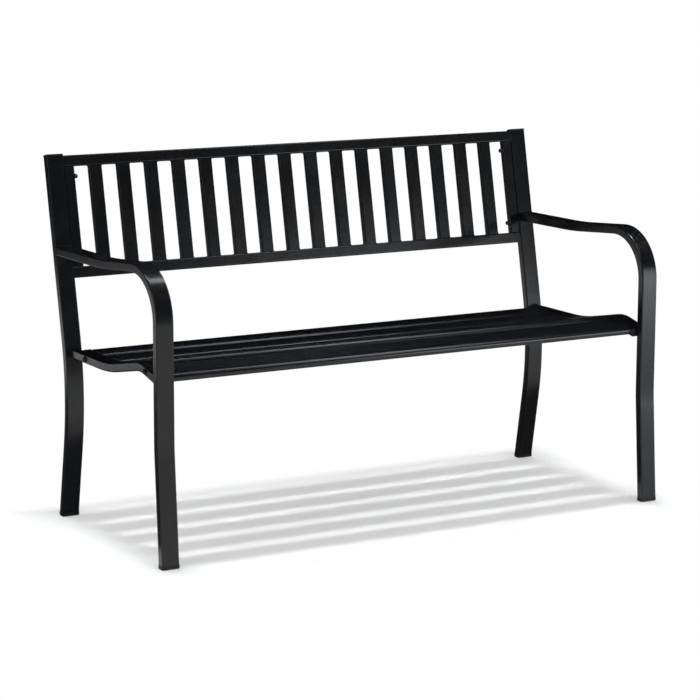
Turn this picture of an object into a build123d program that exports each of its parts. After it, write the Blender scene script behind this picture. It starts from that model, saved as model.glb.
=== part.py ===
from build123d import *
import os

# A garden bench of bent and welded steel tube for two people.
# Millimetres: X to the right, Y to the back, Z up, origin on the floor at the middle of the plan.
# Each side frame is two bent tubes. The first is the rear post and leg, the second the arm and
# front leg. A curved seat panel and a slatted back panel are bolted between the side frames.

# Side frame tube, wide across the bench and shallow in the plane of the frame
bench_width = 1270.0
tube_width = 40.0
tube_depth = 20.0
tube_corner = 3.0
tube_wall = 1.5

# Rear post centreline: a leg kicked back, one long bend, and a post that leans back
rear_foot_y = 232.4
rear_bend_y = 180.0
rear_bend_z = 290.4
rear_bend_radius = 660.0
post_top_y = 288.4
post_top_z = 810.7

# Arm and front leg centreline: a slight knee, the large bend, and an arm that dips to the post
front_foot_y = -289.7
front_knee_y = -272.0
front_knee_z = 252.4
front_knee_radius = 500.0
arm_bend_radius = 106.0
arm_front_z = 631.4
arm_dip_y = 10.0
arm_dip_z = 607.2
arm_dip_radius = 900.0
arm_end_z = 604.8

# Seat centreline: level at the back, up to a crest behind the knees, and down at the front
seat_tube = 20.0
seat_corner = 3.0
seat_wall = 1.5
seat_back_y = 162.0
seat_dip_y = -13.0
seat_dip_z = 381.4
seat_dip_radius = 465.0
seat_crest_y = -174.0
seat_crest_z = 413.4
seat_crest_radius = 103.0
seat_nose_y = -257.0
seat_nose_z = 394.8

# Seat slats, folded from sheet with both long edges rolled down
seat_slat_count = 5
seat_slat_gap = 24.0
seat_slat_lip = 15.0
seat_slat_rise = 1.0
seat_slat_roll = 10.0
seat_slat_sheet = 1.2

# Back panel, square to the lean of the posts, with its top level with the top of the tube
back_height = 274.5
back_rail_height = 25.0
back_tube_depth = 16.0
back_corner = 3.0
back_wall = 1.2
back_bar_width = 25.0
back_slat_count = 16
back_slat_width = 31.0
back_slat_depth = 14.0
back_slat_corner = 3.0
back_slat_end_gap = 37.0

# Plastic caps, foot plugs and end plugs
plug_clearance = 0.3
plug_lip = 0.6
cap_bevel = 1.2
cap_thickness = 4.0
cap_insert = 18.0
foot_thickness = 9.0
foot_insert = 22.0
end_plug_thickness = 3.0
end_plug_round = 2.6
end_plug_insert = 12.0

# Bolts through the seat tubes and studs from the posts, with flat washers and cap nuts
bolt_radius = 3.0
bolt_clearance = 0.3
bolt_head_radius = 5.5
bolt_head_height = 3.4
bolt_socket_radius = 2.3
bolt_socket_depth = 2.0
seat_bolt_inset = 55.0
thread_clearance = 0.1
washer_radius = 7.0
washer_thickness = 1.2
nut_corner_radius = 5.6
nut_height = 4.6
nut_dome_radius = 4.4
nut_dome_height = 3.4
nut_dome_wall = 1.2
stud_head_thickness = 2.0
back_stud_drop = 47.0
back_stud_rise = 49.5

# Shares
middle_share = 0.5
dome_share = 0.85
least_corner_share = 0.2

# One overrun for every cut
overrun = 5.0

# Places worked out from the sizes above
side_x = (bench_width - tube_width) * middle_share
post_inner_x = bench_width * middle_share - tube_width
seat_bar_x = side_x - seat_tube
seat_bar_face_x = seat_bar_x - seat_tube * middle_share
back_bar_face_x = post_inner_x - back_bar_width
back_bar_x = post_inner_x - back_bar_width * middle_share
back_slat_span = 2 * (back_bar_face_x - back_slat_end_gap) - back_slat_width
back_slat_pitch = back_slat_span / (back_slat_count - 1)
back_slat_length = back_height - 2 * back_rail_height

# The upper stretch of the posts: Z runs up the post, X across the bench, Y out of its back face
post_plane = Plane(
    origin=(0, post_top_y, post_top_z),
    x_dir=(1, 0, 0),
    z_dir=(0, post_top_y - rear_bend_y, post_top_z - rear_bend_z),
)


def inner_corner(corner, wall):
    """Corner radius inside a tube, kept above nothing where the wall is thick."""
    return max(corner - wall, corner * least_corner_share)


def ring(width, depth, corner, wall):
    """Section of a rectangular tube with rounded corners."""
    outer = RectangleRounded(width, depth, corner)
    inner = RectangleRounded(width - 2 * wall, depth - 2 * wall, inner_corner(corner, wall))
    return outer - inner


def side_path(points, radii):
    """Centreline in the plane of a side frame: straight runs joined by arcs."""
    return FilletPolyline([(0, y, z) for y, z in points], radius=radii)


def start_plane(path):
    """Plane square to the start of a path, with its X across the bench."""
    return Plane(origin=path @ 0, x_dir=(1, 0, 0), z_dir=path % 0)


def bent(path, section):
    """Section swept along a centreline."""
    return sweep(start_plane(path) * section, path=path)


def rear_path():
    """Centreline of the rear leg and post."""
    points = [(rear_foot_y, 0), (rear_bend_y, rear_bend_z), (post_top_y, post_top_z)]
    return side_path(points, [rear_bend_radius])


def arm_path():
    """Centreline of the front leg and arm, ending inside the post."""
    end_y = post_y_at(arm_end_z)
    points = [
        (front_foot_y, 0),
        (front_knee_y, front_knee_z),
        (front_knee_y, arm_front_z),
        (arm_dip_y, arm_dip_z),
        (end_y, arm_end_z),
    ]
    return side_path(points, [front_knee_radius, arm_bend_radius, arm_dip_radius])


def post_y_at(z):
    """Y of the straight upper stretch of the post centreline at a height."""
    slope = (post_top_y - rear_bend_y) / (post_top_z - rear_bend_z)
    return rear_bend_y + slope * (z - rear_bend_z)


def nose_z_at(y):
    """Z of the front slope of the seat centreline."""
    slope = (seat_crest_z - seat_nose_z) / (seat_crest_y - seat_nose_y)
    return seat_crest_z + slope * (y - seat_crest_y)


def seat_path(back_y, front_y):
    """Centreline of the seat between two places along Y."""
    points = [
        (back_y, seat_dip_z),
        (seat_dip_y, seat_dip_z),
        (seat_crest_y, seat_crest_z),
        (front_y, nose_z_at(front_y)),
    ]
    return side_path(points, [seat_dip_radius, seat_crest_radius])


def post_block():
    """The space of the rear post, wider than the tube, which trims what meets its faces."""
    return bent(rear_path(), Rectangle(2 * tube_width, tube_depth))


def leg_block():
    """The space of the front leg, wider than the tube."""
    return bent(arm_path(), Rectangle(2 * tube_width, tube_depth))


def above_feet():
    """Everything above the tops of the foot plugs."""
    height = post_top_z + tube_width
    width = 2 * tube_width
    length = 2 * (post_top_y - front_foot_y)
    return Pos(0, 0, foot_thickness + height * middle_share) * Box(width, length, height)


def rod(radius, length):
    """Round bar along X from the origin."""
    return extrude(Plane.YZ * Circle(radius), amount=length)


def bolt_hole(length):
    """Hole for a bolt along X, running past both ends."""
    return Pos(-overrun, 0, 0) * rod(bolt_radius + bolt_clearance, length + 2 * overrun)


def back_stud_places():
    """Centres of the back studs on the middle plane of the bench."""
    lower = back_height - back_stud_rise
    return [post_plane.location * Pos(0, 0, -drop) for drop in (back_stud_drop, lower)]


def seat_slat_width(path):
    """Width of each seat slat, from the length of the seat curve that they share."""
    return (path.length - (seat_slat_count - 1) * seat_slat_gap) / seat_slat_count


def seat_bolt_places():
    """Centres of the seat bolts on the middle plane, below the first slat and the last."""
    path = seat_path(seat_back_y, seat_nose_y)
    distances = (seat_bolt_inset, path.length - seat_bolt_inset)
    centres = [path.position_at(at, position_mode=PositionMode.LENGTH) for at in distances]
    return [Pos(*centre) for centre in centres]


def rear_post():
    """Rear leg and post: one bent tube, its inner wall drilled for the back studs."""
    post = bent(rear_path(), ring(tube_width, tube_depth, tube_corner, tube_wall))
    post = Pos(side_x, 0, 0) * (post & above_feet())
    for place in back_stud_places():
        post -= Pos(post_inner_x, 0, 0) * place * bolt_hole(tube_wall)
    return post


def arm_leg():
    """Arm and front leg: one bent tube, its rear end trimmed to the post."""
    arm = bent(arm_path(), ring(tube_width, tube_depth, tube_corner, tube_wall))
    arm = (arm & above_feet()) - post_block()
    return Pos(side_x, 0, 0) * arm


def seat_rail():
    """Curved rail between the front face of the post and the rear face of the front leg."""
    back_y = post_y_at(rear_bend_z) + tube_depth
    path = seat_path(back_y, front_knee_y)
    rail = bent(path, ring(seat_tube, seat_tube, seat_corner, seat_wall))
    rail = rail - post_block() - leg_block()
    rail = Pos(side_x, 0, 0) * rail
    for place in seat_bolt_places():
        rail -= Pos(seat_bar_face_x + seat_tube, 0, 0) * place * bolt_hole(seat_tube)
    return rail


def seat_end_bar():
    """Tube of the same curve inside the rail, which carries the ends of the seat slats."""
    path = seat_path(seat_back_y, seat_nose_y)
    bar = bent(path, ring(seat_tube, seat_tube, seat_corner, seat_wall))
    bar = Pos(seat_bar_x, 0, 0) * bar
    for place in seat_bolt_places():
        bar -= Pos(seat_bar_face_x, 0, 0) * place * bolt_hole(seat_tube)
    return bar


def slat_section(width):
    """Folded slat section: a flat top with both edges rolled down, open below."""
    outer = Pos(0, -seat_slat_lip * middle_share) * Rectangle(width, seat_slat_lip)
    outer = fillet(outer.vertices().group_by(Axis.Y)[-1], radius=seat_slat_roll)
    depth = seat_slat_lip - seat_slat_sheet + overrun
    inner = Rectangle(width - 2 * seat_slat_sheet, depth)
    inner = Pos(0, -seat_slat_sheet - depth * middle_share) * inner
    roll = inner_corner(seat_slat_roll, seat_slat_sheet)
    inner = fillet(inner.vertices().group_by(Axis.Y)[-1], radius=roll)
    return outer - inner


def seat_slats():
    """Seat slats laid evenly along the seat curve, a little proud of the rails."""
    path = seat_path(seat_back_y, seat_nose_y)
    width = seat_slat_width(path)
    slats = []
    for index in range(seat_slat_count):
        start = index * (width + seat_slat_gap)
        back = path.position_at(start, position_mode=PositionMode.LENGTH)
        front = path.position_at(start + width, position_mode=PositionMode.LENGTH)
        forward = front - back
        up = Vector(1, 0, 0).cross(-forward).normalized()
        top = (back + front) * middle_share + up * (seat_tube * middle_share + seat_slat_rise)
        plane = Plane(origin=top, x_dir=-forward, z_dir=(1, 0, 0))
        slats.append(extrude(plane * slat_section(width), amount=seat_bar_face_x, both=True))
    return slats


def back_rail(drop):
    """Cross tube of the back panel, between the inner faces of the posts."""
    section = Plane.YZ * ring(back_tube_depth, back_rail_height, back_corner, back_wall)
    rail = extrude(section, amount=post_inner_x, both=True)
    return post_plane.location * Pos(0, 0, -drop - back_rail_height * middle_share) * rail


def back_upright(x, section):
    """Upright of the back panel between its two cross tubes."""
    upright = extrude(section, amount=back_slat_length)
    return post_plane.location * Pos(x, 0, -back_height + back_rail_height) * upright


def back_end_bar():
    """End upright of the back panel, held on the studs against the inner face of the post."""
    section = ring(back_bar_width, back_tube_depth, back_corner, back_wall)
    bar = back_upright(back_bar_x, section)
    for place in back_stud_places():
        bar -= Pos(back_bar_face_x, 0, 0) * place * bolt_hole(back_bar_width)
    return bar


def back_slats():
    """Flat oval slats, evenly pitched across the back."""
    section = ring(back_slat_width, back_slat_depth, back_slat_corner, back_wall)
    first_x = -back_slat_span * middle_share
    return [back_upright(first_x + index * back_slat_pitch, section) for index in range(back_slat_count)]


def plug(width, depth, corner, wall, lid, insert):
    """Plug for a tube end: Z points out of the tube, and the lid rests on its end face."""
    shrink = 2 * (wall + plug_clearance)
    body = RectangleRounded(width - shrink, depth - shrink, inner_corner(corner, wall))
    return lid + extrude(body, amount=-insert)


def post_cap():
    """Cap on the top of a post."""
    cover = RectangleRounded(tube_width + 2 * plug_lip, tube_depth + 2 * plug_lip, tube_corner + plug_lip)
    lid = extrude(cover, amount=cap_thickness)
    lid = chamfer(lid.edges().group_by(Axis.Z)[-1], length=cap_bevel)
    cap = plug(tube_width, tube_depth, tube_corner, tube_wall, lid, cap_insert)
    return post_plane.location * Pos(side_x, 0, 0) * cap


def foot_plug(path):
    """Foot plug: a level sole under the cut end of a leg, and an insert up the tube."""
    plane = start_plane(path)
    shrink = 2 * (tube_wall + plug_clearance)
    corner = inner_corner(tube_corner, tube_wall)
    section = RectangleRounded(tube_width - shrink, tube_depth - shrink, corner)
    insert = extrude(plane * section, amount=foot_thickness + foot_insert)
    insert = insert & above_feet()
    lean = plane.z_dir
    depth = tube_depth / lean.Z + 2 * plug_lip
    sole = RectangleRounded(tube_width + 2 * plug_lip, depth, tube_corner + plug_lip)
    sole = extrude(sole, amount=foot_thickness)
    sole = chamfer(sole.edges().group_by(Axis.Z)[0], length=cap_bevel)
    centre_y = plane.origin.Y + foot_thickness * lean.Y / lean.Z
    return Pos(side_x, 0, 0) * (Pos(0, centre_y, 0) * sole + insert)


def seat_end_plugs():
    """Plugs in both ends of the right seat end bar, their domed lids flush with the tube."""
    path = seat_path(seat_back_y, seat_nose_y)
    lid = extrude(RectangleRounded(seat_tube, seat_tube, seat_corner), amount=end_plug_thickness)
    lid = fillet(lid.edges().group_by(Axis.Z)[-1], radius=end_plug_round)
    shape = plug(seat_tube, seat_tube, seat_corner, seat_wall, lid, end_plug_insert)
    ends = [(path @ 0, -(path % 0)), (path @ 1, path % 1)]
    planes = [Plane(origin=point, x_dir=(1, 0, 0), z_dir=out) for point, out in ends]
    return [Pos(seat_bar_x, 0, 0) * plane.location * shape for plane in planes]


def washer():
    """Flat washer on the plane at the origin, along X."""
    return rod(washer_radius, washer_thickness) - bolt_hole(washer_thickness)


def bolt(grip):
    """Bolt along X, its domed head with a hexagon socket at positive X, for a grip between washers."""
    seat = grip + washer_thickness
    length = grip + 2 * washer_thickness + nut_height
    shank = Pos(seat - length, 0, 0) * rod(bolt_radius, length)
    head = rod(bolt_head_radius, bolt_head_height)
    head = fillet(head.edges().group_by(Axis.X)[-1], radius=bolt_head_height * dome_share)
    socket = extrude(Plane.YZ * RegularPolygon(bolt_socket_radius, 6), amount=bolt_socket_depth + overrun)
    head -= Pos(bolt_head_height - bolt_socket_depth, 0, 0) * socket
    return shank + Pos(seat, 0, 0) * head


def cap_nut():
    """Cap nut whose seat is at the origin and whose dome points to negative X."""
    hexagon = extrude(Plane.YZ * RegularPolygon(nut_corner_radius, 6), amount=-nut_height)
    dome = extrude(Plane.YZ * Circle(nut_dome_radius), amount=-nut_height - nut_dome_height)
    tip = dome.edges().group_by(Axis.X)[0]
    dome = fillet(tip, radius=nut_dome_radius * dome_share)
    depth = nut_height + nut_dome_height - nut_dome_wall
    bore = Pos(-depth, 0, 0) * rod(bolt_radius + thread_clearance, depth + overrun)
    return hexagon + dome - bore


def stud():
    """Stud to negative X, its flat head at the origin against the inside of the wall of a post."""
    length = tube_wall + back_bar_width + washer_thickness + nut_height
    return Pos(-length, 0, 0) * rod(bolt_radius, length) + rod(bolt_head_radius, stud_head_thickness)


def back_fasteners():
    """Studs, washers and cap nuts of the right end of the back panel."""
    inner = [Pos(back_bar_face_x, 0, 0) * place for place in back_stud_places()]
    return {
        "back_studs": [place * Pos(back_bar_width + tube_wall, 0, 0) * stud() for place in inner],
        "back_washers": [place * Pos(-washer_thickness, 0, 0) * washer() for place in inner],
        "back_nuts": [place * Pos(-washer_thickness, 0, 0) * cap_nut() for place in inner],
    }


def seat_fasteners():
    """Bolts, washers and cap nuts of the right end of the seat panel."""
    grip = 2 * seat_tube
    inner = [Pos(seat_bar_face_x, 0, 0) * place for place in seat_bolt_places()]
    seats = (-washer_thickness, grip)
    return {
        "seat_bolts": [place * bolt(grip) for place in inner],
        "seat_washers": [place * Pos(seat, 0, 0) * washer() for place in inner for seat in seats],
        "seat_nuts": [place * Pos(-washer_thickness, 0, 0) * cap_nut() for place in inner],
    }


def both_sides(shapes):
    """The pieces of the right side with their mirror images, as one group."""
    mirrored = [mirror(shape, about=Plane.YZ) for shape in shapes]
    return Compound([solid for shape in shapes + mirrored for solid in shape.solids()])


def side_pieces():
    """Pieces that each side has once, as they are on the right."""
    return {
        "rear_post": rear_post(),
        "arm_and_front_leg": arm_leg(),
        "seat_rail": seat_rail(),
        "seat_end_bar": seat_end_bar(),
        "back_end_bar": back_end_bar(),
        "post_cap": post_cap(),
        "rear_foot_plug": foot_plug(rear_path()),
        "front_foot_plug": foot_plug(arm_path()),
    }


def bench():
    """Every piece of the bench by its node name."""
    pieces = {}
    for name, shape in side_pieces().items():
        pieces["right_" + name] = shape
        pieces["left_" + name] = mirror(shape, about=Plane.YZ)
    for number, slat in enumerate(seat_slats(), start=1):
        pieces[f"seat_slat_{number}"] = slat
    pieces["back_top_rail"] = back_rail(0)
    pieces["back_bottom_rail"] = back_rail(back_height - back_rail_height)
    for number, slat in enumerate(back_slats(), start=1):
        pieces[f"back_slat_{number:02d}"] = slat
    pieces["seat_end_plugs"] = both_sides(seat_end_plugs())
    for name, shapes in (back_fasteners() | seat_fasteners()).items():
        pieces[name] = both_sides(shapes)
    return pieces


os.makedirs("parts", exist_ok=True)
for node, shape in bench().items():
    export_step(shape, f"parts/{node}.step")
    print(node, round(shape.volume))
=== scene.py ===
import bpy
import math
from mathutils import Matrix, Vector


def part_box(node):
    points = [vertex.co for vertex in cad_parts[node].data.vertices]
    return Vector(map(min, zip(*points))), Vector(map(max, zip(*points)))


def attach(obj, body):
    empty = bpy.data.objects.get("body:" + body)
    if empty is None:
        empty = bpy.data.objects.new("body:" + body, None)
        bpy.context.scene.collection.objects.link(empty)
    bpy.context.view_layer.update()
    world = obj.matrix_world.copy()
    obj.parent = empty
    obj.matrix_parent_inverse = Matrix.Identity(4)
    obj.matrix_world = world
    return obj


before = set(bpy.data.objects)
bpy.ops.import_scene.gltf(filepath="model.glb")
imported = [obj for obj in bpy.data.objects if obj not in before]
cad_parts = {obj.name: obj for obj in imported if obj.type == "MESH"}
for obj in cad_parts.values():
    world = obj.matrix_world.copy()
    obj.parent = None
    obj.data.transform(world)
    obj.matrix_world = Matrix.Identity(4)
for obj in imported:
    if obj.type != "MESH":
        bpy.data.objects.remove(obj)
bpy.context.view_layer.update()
bpy.ops.object.select_all(action="DESELECT")


# Rear posts. Each rear leg and post is one 40 x 20 mm steel tube, bent in a single long curve.
# The whole frame is shot-blasted, sprayed with black polyester powder and baked, so that the
# coat lies over tubes and welds alike in one satin film.
def linear(colour):
    """Linear RGBA of an sRGB colour written as hex."""
    channels = [int(colour[i:i + 2], 16) / 255 for i in (1, 3, 5)]
    return [c / 12.92 if c <= 0.04045 else ((c + 0.055) / 1.055) ** 2.4 for c in channels] + [1.0]


def add_node(tree, kind, settings=(), links=()):
    """A new node: settings are its properties or its inputs' values, links feed its inputs."""
    node = tree.nodes.new("ShaderNode" + kind)
    for name, value in dict(settings).items():
        if isinstance(name, str) and hasattr(node, name):
            setattr(node, name, value)
        else:
            node.inputs[name].default_value = value
    for name, output in dict(links).items():
        tree.links.new(output, node.inputs[name])
    return node


def new_material(name):
    """An empty material with its node tree and output."""
    material = bpy.data.materials.new(name)
    material.use_nodes = True
    material.node_tree.nodes.clear()
    return material, material.node_tree, add_node(material.node_tree, "OutputMaterial")


def per_metre(millimetres):
    """Scale of a pattern in metres whose grain is a number of millimetres wide."""
    return 1000 / millimetres


# Black polyester powder coat, baked on blasted steel: a satin skin with a faint orange peel. It is
# cloudy over a hand's breadth where the powder lay thicker, and its gloss varies in small patches.
coat_black = "#0d0e10"
coat_thick_black = "#141518"
coat_roughness = (0.20, 0.26)
patch_roughness = 0.02
powder_coat, tree, output = new_material("black_polyester_powder_coat")
place = add_node(tree, "TexCoord").outputs["Object"]
clouds = add_node(tree, "TexNoise", {"Scale": per_metre(70), "Detail": 3.0}, {"Vector": place})
# Real orange peel is about 1 mm wide; it is drawn at 3 mm so that it shows at the render's size.
peel = add_node(tree, "TexNoise", {"Scale": per_metre(3), "Detail": 2.0}, {"Vector": place})
patches = add_node(tree, "TexNoise", {"Scale": per_metre(9), "Detail": 4.0}, {"Vector": place})
colour = add_node(tree, "MixRGB",
                  {"Color1": linear(coat_black), "Color2": linear(coat_thick_black)},
                  {"Fac": clouds.outputs["Fac"]})
cloud_gloss = add_node(tree, "MapRange",
                       {"From Min": 0.3, "From Max": 0.7,
                        "To Min": coat_roughness[0], "To Max": coat_roughness[1]},
                       {"Value": clouds.outputs["Fac"]})
patch_gloss = add_node(tree, "MapRange",
                       {"From Min": 0.3, "From Max": 0.7,
                        "To Min": -patch_roughness, "To Max": patch_roughness},
                       {"Value": patches.outputs["Fac"]})
roughness = add_node(tree, "Math", {"operation": "ADD"},
                     {0: cloud_gloss.outputs["Result"], 1: patch_gloss.outputs["Result"]})
bump = add_node(tree, "Bump", {"Strength": 0.12, "Distance": 0.0003},
                {"Height": peel.outputs["Fac"]})
surface = add_node(tree, "BsdfPrincipled", {"IOR": 1.5, "Specular IOR Level": 0.4},
                   {"Base Color": colour.outputs["Color"],
                    "Roughness": roughness.outputs["Value"],
                    "Normal": bump.outputs["Normal"]})
tree.links.new(surface.outputs["BSDF"], output.inputs["Surface"])


def dress(material, *names):
    """Gives CAD nodes a finish."""
    for name in names:
        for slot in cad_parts[name].material_slots:
            slot.material = material


dress(powder_coat, "left_rear_post", "right_rear_post")

# Arms and front legs. Each is one tube of the same section: front leg, the large bend, and an arm
# that dips to the rear post and is welded to its front face.
dress(powder_coat, "left_arm_and_front_leg", "right_arm_and_front_leg")

# Welds of the arms. A bead of steel laid by hand across the top, along the inner side and across
# the bottom of each arm joins its trimmed end to the front face of the post.
bead_width = 0.0032
drop_step = 0.0022


def weld(start, end):
    """A short weld bead between two places: drops of metal, each lapping the last."""
    start, end = Vector(start), Vector(end)
    count = max(2, round((end - start).length / drop_step))
    bpy.ops.mesh.primitive_uv_sphere_add(segments=8, ring_count=6, radius=bead_width / 2,
                                         location=start)
    bead = bpy.context.object
    bpy.ops.object.transform_apply(location=True, rotation=False, scale=False)
    drops = bead.modifiers.new("drops", "ARRAY")
    drops.count = count
    drops.use_relative_offset = False
    drops.use_constant_offset = True
    drops.constant_offset_displace = (end - start) / (count - 1)
    bpy.ops.object.modifier_apply(modifier=drops.name)
    bpy.ops.object.shade_smooth()
    return bead


def weld_piece(name, runs):
    """One piece from many beads, coated as the tubes are."""
    beads = [weld(*run) for run in runs]
    bpy.ops.object.select_all(action="DESELECT")
    for bead in beads:
        bead.select_set(True)
    bpy.context.view_layer.objects.active = beads[0]
    bpy.ops.object.join()
    piece = bpy.context.object
    piece.name = name
    piece.data.materials.append(powder_coat)
    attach(piece, "root")
    bpy.ops.object.select_all(action="DESELECT")


def on_both_sides(runs):
    """Runs on the right of the bench, and the same runs on its left."""
    return runs + [[(-x, y, z) for x, y, z in run] for run in runs]


weld_piece("arm_welds", on_both_sides([
    ((0.598, 0.2370, 0.6153), (0.632, 0.2370, 0.6153)),
    ((0.5946, 0.2364, 0.6120), (0.5946, 0.2335, 0.5980)),
    ((0.598, 0.2328, 0.5945), (0.632, 0.2328, 0.5945)),
]))

# Seat rails. Curved 20 mm square steel tubes, one a side, cut to the faces of the post and of the
# front leg and welded between them.
dress(powder_coat, "left_seat_rail", "right_seat_rail")

# Welds of the seat rails. A bead along each of the four sides of the tube, first where the rail
# meets the post and then where it meets the front leg.
weld_piece("rail_welds", on_both_sides([
    ((0.608, 0.1910, 0.3918), (0.622, 0.1910, 0.3918)),
    ((0.6253, 0.1905, 0.3890), (0.6253, 0.1884, 0.3740)),
    ((0.6047, 0.1905, 0.3890), (0.6047, 0.1884, 0.3740)),
    ((0.608, 0.1880, 0.3710), (0.622, 0.1880, 0.3710)),
    ((0.608, -0.2616, 0.4043), (0.622, -0.2616, 0.4043)),
    ((0.6253, -0.2616, 0.4010), (0.6253, -0.2616, 0.3865)),
    ((0.6047, -0.2616, 0.4010), (0.6047, -0.2616, 0.3865)),
    ((0.608, -0.2616, 0.3830), (0.622, -0.2616, 0.3830)),
]))

# Seat panel. Five folded sheet slats with rolled edges, welded between two curved end bars, then
# coated as one panel and bolted between the side frames.
dress(powder_coat, "left_seat_end_bar", "right_seat_end_bar")
dress(powder_coat, *(f"seat_slat_{number}" for number in range(1, 6)))

# Back panel. Sixteen upright flat tubes welded between a top and a bottom cross tube, with an end
# bar at each side that the studs of the posts pass through.
back_slats = [f"back_slat_{number:02d}" for number in range(1, 17)]
dress(powder_coat, "back_top_rail", "back_bottom_rail", "left_back_end_bar", "right_back_end_bar")
dress(powder_coat, *back_slats)

# Welds of the back panel. A short bead runs across each narrow side of a slat at its foot and at
# its head, where it meets the cross tubes. They are set square to the back, which leans.
slat_foot = Vector((0, 0.23754, 0.56644))
slat_head = Vector((0, 0.28333, 0.78622))
through_back = Vector((0, 0.9790, -0.2040))
half_bead = 0.004
bead_stand_off = 0.0003
back_runs = []
for name in back_slats:
    low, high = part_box(name)
    for x in (low[0] - bead_stand_off, high[0] + bead_stand_off):
        for slat_end in (slat_foot, slat_head):
            middle = Vector((x, 0, 0)) + slat_end
            back_runs.append((middle - half_bead * through_back,
                              middle + half_bead * through_back))
weld_piece("back_welds", back_runs)

# Fasteners. Hexagon socket bolts through the seat tubes, and cap nuts on the studs of the back:
# mild steel, zinc plated and passivated black, which leaves a thin gloss between black and brown.
plated_black = "#39393c"
plated_brown = "#413f3c"
plated_roughness = (0.28, 0.46)
black_zinc, tree, output = new_material("black_passivated_zinc")
place = add_node(tree, "TexCoord").outputs["Object"]
stain = add_node(tree, "TexNoise", {"Scale": per_metre(4), "Detail": 3.0}, {"Vector": place})
scratches = add_node(tree, "TexNoise", {"Scale": per_metre(0.8), "Detail": 2.0}, {"Vector": place})
colour = add_node(tree, "MixRGB",
                  {"Color1": linear(plated_black), "Color2": linear(plated_brown)},
                  {"Fac": stain.outputs["Fac"]})
roughness = add_node(tree, "MapRange",
                     {"To Min": plated_roughness[0], "To Max": plated_roughness[1]},
                     {"Value": scratches.outputs["Fac"]})
bump = add_node(tree, "Bump", {"Strength": 0.15, "Distance": 0.0001},
                {"Height": scratches.outputs["Fac"]})
surface = add_node(tree, "BsdfPrincipled", {"Metallic": 0.85},
                   {"Base Color": colour.outputs["Color"],
                    "Roughness": roughness.outputs["Result"],
                    "Normal": bump.outputs["Normal"]})
tree.links.new(surface.outputs["BSDF"], output.inputs["Surface"])
dress(black_zinc, "back_studs", "back_washers", "back_nuts")
dress(black_zinc, "seat_bolts", "seat_washers", "seat_nuts")

# Post caps, foot plugs and end plugs. Injection-moulded polyethylene, pushed into the tube ends.
# The mould is spark-eroded, so the black is deeper and duller than the coat beside it.
moulded_black = "#0b0b0c"
rubbed_black = "#17171a"
moulded_roughness = (0.48, 0.66)
polyethylene, tree, output = new_material("black_moulded_polyethylene")
place = add_node(tree, "TexCoord").outputs["Object"]
rubbed = add_node(tree, "TexNoise", {"Scale": per_metre(12), "Detail": 4.0}, {"Vector": place})
# Spark erosion leaves pits of about 0.1 mm; they are drawn at 0.8 mm so that they show.
pits = add_node(tree, "TexNoise", {"Scale": per_metre(0.8), "Detail": 1.0}, {"Vector": place})
colour = add_node(tree, "MixRGB",
                  {"Color1": linear(moulded_black), "Color2": linear(rubbed_black)},
                  {"Fac": rubbed.outputs["Fac"]})
roughness = add_node(tree, "MapRange",
                     {"To Min": moulded_roughness[0], "To Max": moulded_roughness[1]},
                     {"Value": rubbed.outputs["Fac"]})
bump = add_node(tree, "Bump", {"Strength": 0.3, "Distance": 0.0002},
                {"Height": pits.outputs["Fac"]})
surface = add_node(tree, "BsdfPrincipled", {"IOR": 1.5, "Specular IOR Level": 0.4},
                   {"Base Color": colour.outputs["Color"],
                    "Roughness": roughness.outputs["Result"],
                    "Normal": bump.outputs["Normal"]})
tree.links.new(surface.outputs["BSDF"], output.inputs["Surface"])
for side in ("left", "right"):
    dress(polyethylene, f"{side}_post_cap", f"{side}_rear_foot_plug", f"{side}_front_foot_plug")
dress(polyethylene, "seat_end_plugs")


# Floor. A white floor without an edge: near the bench it is a matt surface that takes its shadow,
# and further out it turns to plain white, as the room does for the camera and in reflections.
def seen(tree):
    """1 for rays that show the surroundings: straight to the camera, mirrored or refracted."""
    path = add_node(tree, "LightPath").outputs
    direct = add_node(tree, "Math", {"operation": "MAXIMUM"},
                      {0: path["Is Camera Ray"], 1: path["Is Glossy Ray"]})
    shown = add_node(tree, "Math", {"operation": "MAXIMUM"},
                     {0: direct.outputs["Value"], 1: path["Is Transmission Ray"]})
    return shown.outputs["Value"]


floor_width = 60.0
floor_white = "#f8f7f5"
plain_white = (1.0, 1.0, 1.0, 1.0)
# The matt part reaches so far to each side of the middle of the shadow, and ends in a soft fade.
shadow_middle = {"X": 0.0, "Y": -0.035}
shadow_reach = {"X": 0.64, "Y": 0.275}
shadow_fade = 0.10
# Share of plain white in the matt part, which keeps the shadow pale.
plain_share = 0.23
bpy.ops.mesh.primitive_plane_add(size=floor_width)
floor = bpy.context.object
floor.name = "floor"
floor_paint, tree, output = new_material("matt_white_floor")
place = add_node(tree, "TexCoord").outputs["Object"]
spot = add_node(tree, "SeparateXYZ", {}, {"Vector": place})
edges = {}
for axis in ("X", "Y"):
    offset = add_node(tree, "Math", {"operation": "SUBTRACT", 1: shadow_middle[axis]},
                      {0: spot.outputs[axis]})
    distance = add_node(tree, "Math", {"operation": "ABSOLUTE"}, {0: offset.outputs["Value"]})
    edge = add_node(tree, "MapRange",
                    {"interpolation_type": "SMOOTHSTEP", "To Min": 0.0, "To Max": 1.0,
                     "From Min": shadow_reach[axis],
                     "From Max": shadow_reach[axis] + shadow_fade},
                    {"Value": distance.outputs["Value"]})
    edges[axis] = edge.outputs["Result"]
fade = add_node(tree, "Math", {"operation": "MAXIMUM"}, {0: edges["X"], 1: edges["Y"]})
lifted = add_node(tree, "Math", {"operation": "MAXIMUM", 1: plain_share},
                  {0: fade.outputs["Value"]})
away = add_node(tree, "Math", {"operation": "MULTIPLY"},
                {0: lifted.outputs["Value"], 1: seen(tree)})
matt = add_node(tree, "BsdfDiffuse", {"Color": linear(floor_white)})
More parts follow.
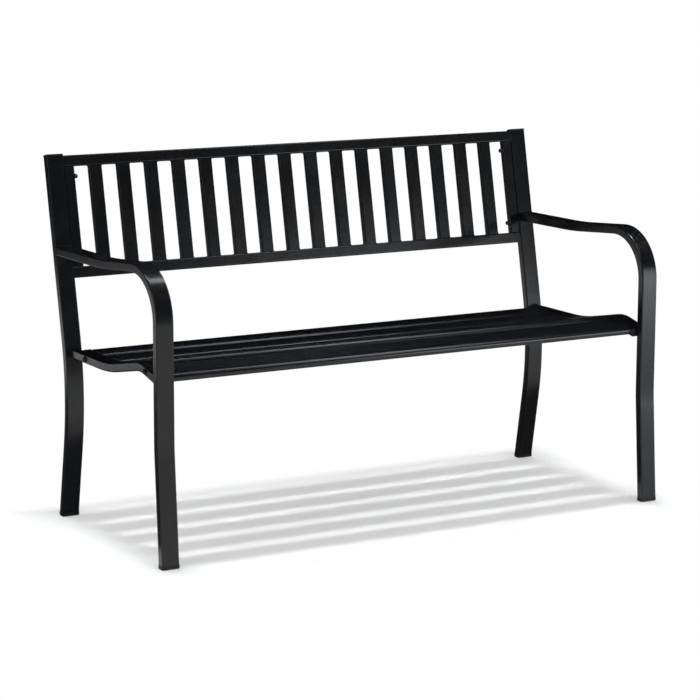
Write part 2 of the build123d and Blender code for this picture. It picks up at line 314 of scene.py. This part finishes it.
white = add_node(tree, "Emission", {"Color": plain_white, "Strength": 1.0})
mixed = add_node(tree, "MixShader", {},
                 {0: away.outputs["Value"], 1: matt.outputs["BSDF"], 2: white.outputs["Emission"]})
tree.links.new(mixed.outputs["Shader"], output.inputs["Surface"])
floor.data.materials.append(floor_paint)

# Room. White walls all round, at a plain level for the light that they give, and plain white where
# the camera or a reflection shows them.
room_level = 0.68
world = bpy.data.worlds.new("studio")
world.use_nodes = True
world.node_tree.nodes.clear()
bpy.context.scene.world = world
tree = world.node_tree
strength = add_node(tree, "MapRange", {"To Min": room_level, "To Max": 1.0}, {"Value": seen(tree)})
room = add_node(tree, "Background", {"Color": plain_white},
                {"Strength": strength.outputs["Result"]})
add_node(tree, "OutputWorld", {}, {"Surface": room.outputs["Background"]})

# Lights. Three long strips with narrow grids hang in one place, each turned to its own stretch of
# the floor, and throw the striped shadow of the seat slats. Soft boxes at the left and low at the
# right light the tubes, and two more overhead show only as highlights on bends and rolled edges.
daylight = (0.88, 0.94, 1.0)
strip_place = (0.0, -0.105, 1.95)
strip_size = (2.6, 0.15)
strip_aims = (-0.35, -0.105, 0.14)


def soft_box(name, place, target, size, power, spread=180, sheen_only=False):
    """A rectangular lamp at a place, turned to a target, with a grid that limits its spread."""
    bpy.ops.object.light_add(type="AREA", location=place)
    lamp = bpy.context.object
    lamp.name = name
    lamp.rotation_euler = (Vector(target) - Vector(place)).to_track_quat("-Z", "Y").to_euler()
    lamp.data.shape = "RECTANGLE"
    lamp.data.size, lamp.data.size_y = size
    lamp.data.energy = power
    lamp.data.spread = math.radians(spread)
    lamp.data.color = daylight
    lamp.visible_camera = False
    lamp.visible_diffuse = not sheen_only


for number, aim in enumerate(strip_aims, start=1):
    soft_box(f"overhead_strip_{number}", place=strip_place, target=(0.0, aim, 0.0),
             size=strip_size, power=1.2, spread=14)
soft_box("high_right_box", place=(0.46, -0.25, 2.17), target=(-0.61, -0.2, 0.57),
         size=(0.2, 1.08), power=8.5, sheen_only=True)
soft_box("left_box", place=(-3.0, -1.2, 1.8), target=(-0.2, 0.0, 0.4), size=(1.2, 1.8), power=14)
soft_box("low_right_box", place=(1.5, -2.1, 0.55), target=(0.5, -0.27, 0.4),
         size=(1.0, 0.9), power=13)
soft_box("front_box", place=(0.95, -1.05, 1.95), target=(0.95, -1.05, 0.0),
         size=(0.8, 1.0), power=10, sheen_only=True)

# Dark drape. The bench stands inside a tent of charcoal cloth that only its reflections show, so
# that the satin black has dark sides and a few clear highlights, as in a studio with black walls.
# Two grey cloths lie on the floor behind the bench, and only reflections show them too.
drape_grey = "#060607"
cloth_grey = "#464646"
drape_radius = 6.5
cloth_height = 0.003
# Name, distance behind the middle of the bench, width and depth of each floor cloth.
floor_cloths = (("near_cloth", 0.75, 9.0, 1.8), ("far_cloth", 4.7, 12.0, 3.2))


def glowing_cloth(name, grey):
    """Cloth that shows one even grey."""
    material, tree, output = new_material(name)
    glow = add_node(tree, "Emission", {"Color": linear(grey), "Strength": 1.0})
    tree.links.new(glow.outputs["Emission"], output.inputs["Surface"])
    return material


def only_reflected(name, material):
    """Names and dresses the new backdrop, and hides it from everything but reflections."""
    backdrop = bpy.context.object
    backdrop.name = name
    backdrop.data.materials.append(material)
    backdrop.visible_camera = backdrop.visible_diffuse = False
    backdrop.visible_shadow = backdrop.visible_transmission = False


bpy.ops.mesh.primitive_uv_sphere_add(segments=48, ring_count=24, radius=drape_radius)
only_reflected("drape", glowing_cloth("charcoal_drape", drape_grey))
grey_cloth = glowing_cloth("grey_floor_cloth", cloth_grey)
for name, distance, width, depth in floor_cloths:
    bpy.ops.mesh.primitive_plane_add(size=1, location=(0, distance, cloth_height))
    bpy.context.object.scale = (width, depth, 1.0)
    only_reflected(name, grey_cloth)

# Camera. It stands to the left of the bench and a little above the arms, with a long lens. Its
# place, angles (in degrees) and lens (in millimetres) were fitted to the photograph.
camera_place = (-2.8592, -4.9878, 1.4398)
camera_turn = 29.646
camera_tilt = 10.602
camera_roll = 0.212
camera_lens = 131.82
film_width = 36
bpy.ops.object.camera_add(location=camera_place)
camera = bpy.context.object
camera.rotation_euler = [math.radians(a) for a in (90 - camera_tilt, -camera_roll, -camera_turn)]
camera.data.lens = camera_lens
camera.data.sensor_width = film_width
bpy.context.scene.camera = camera
bpy.context.scene.view_settings.view_transform = "Standard"
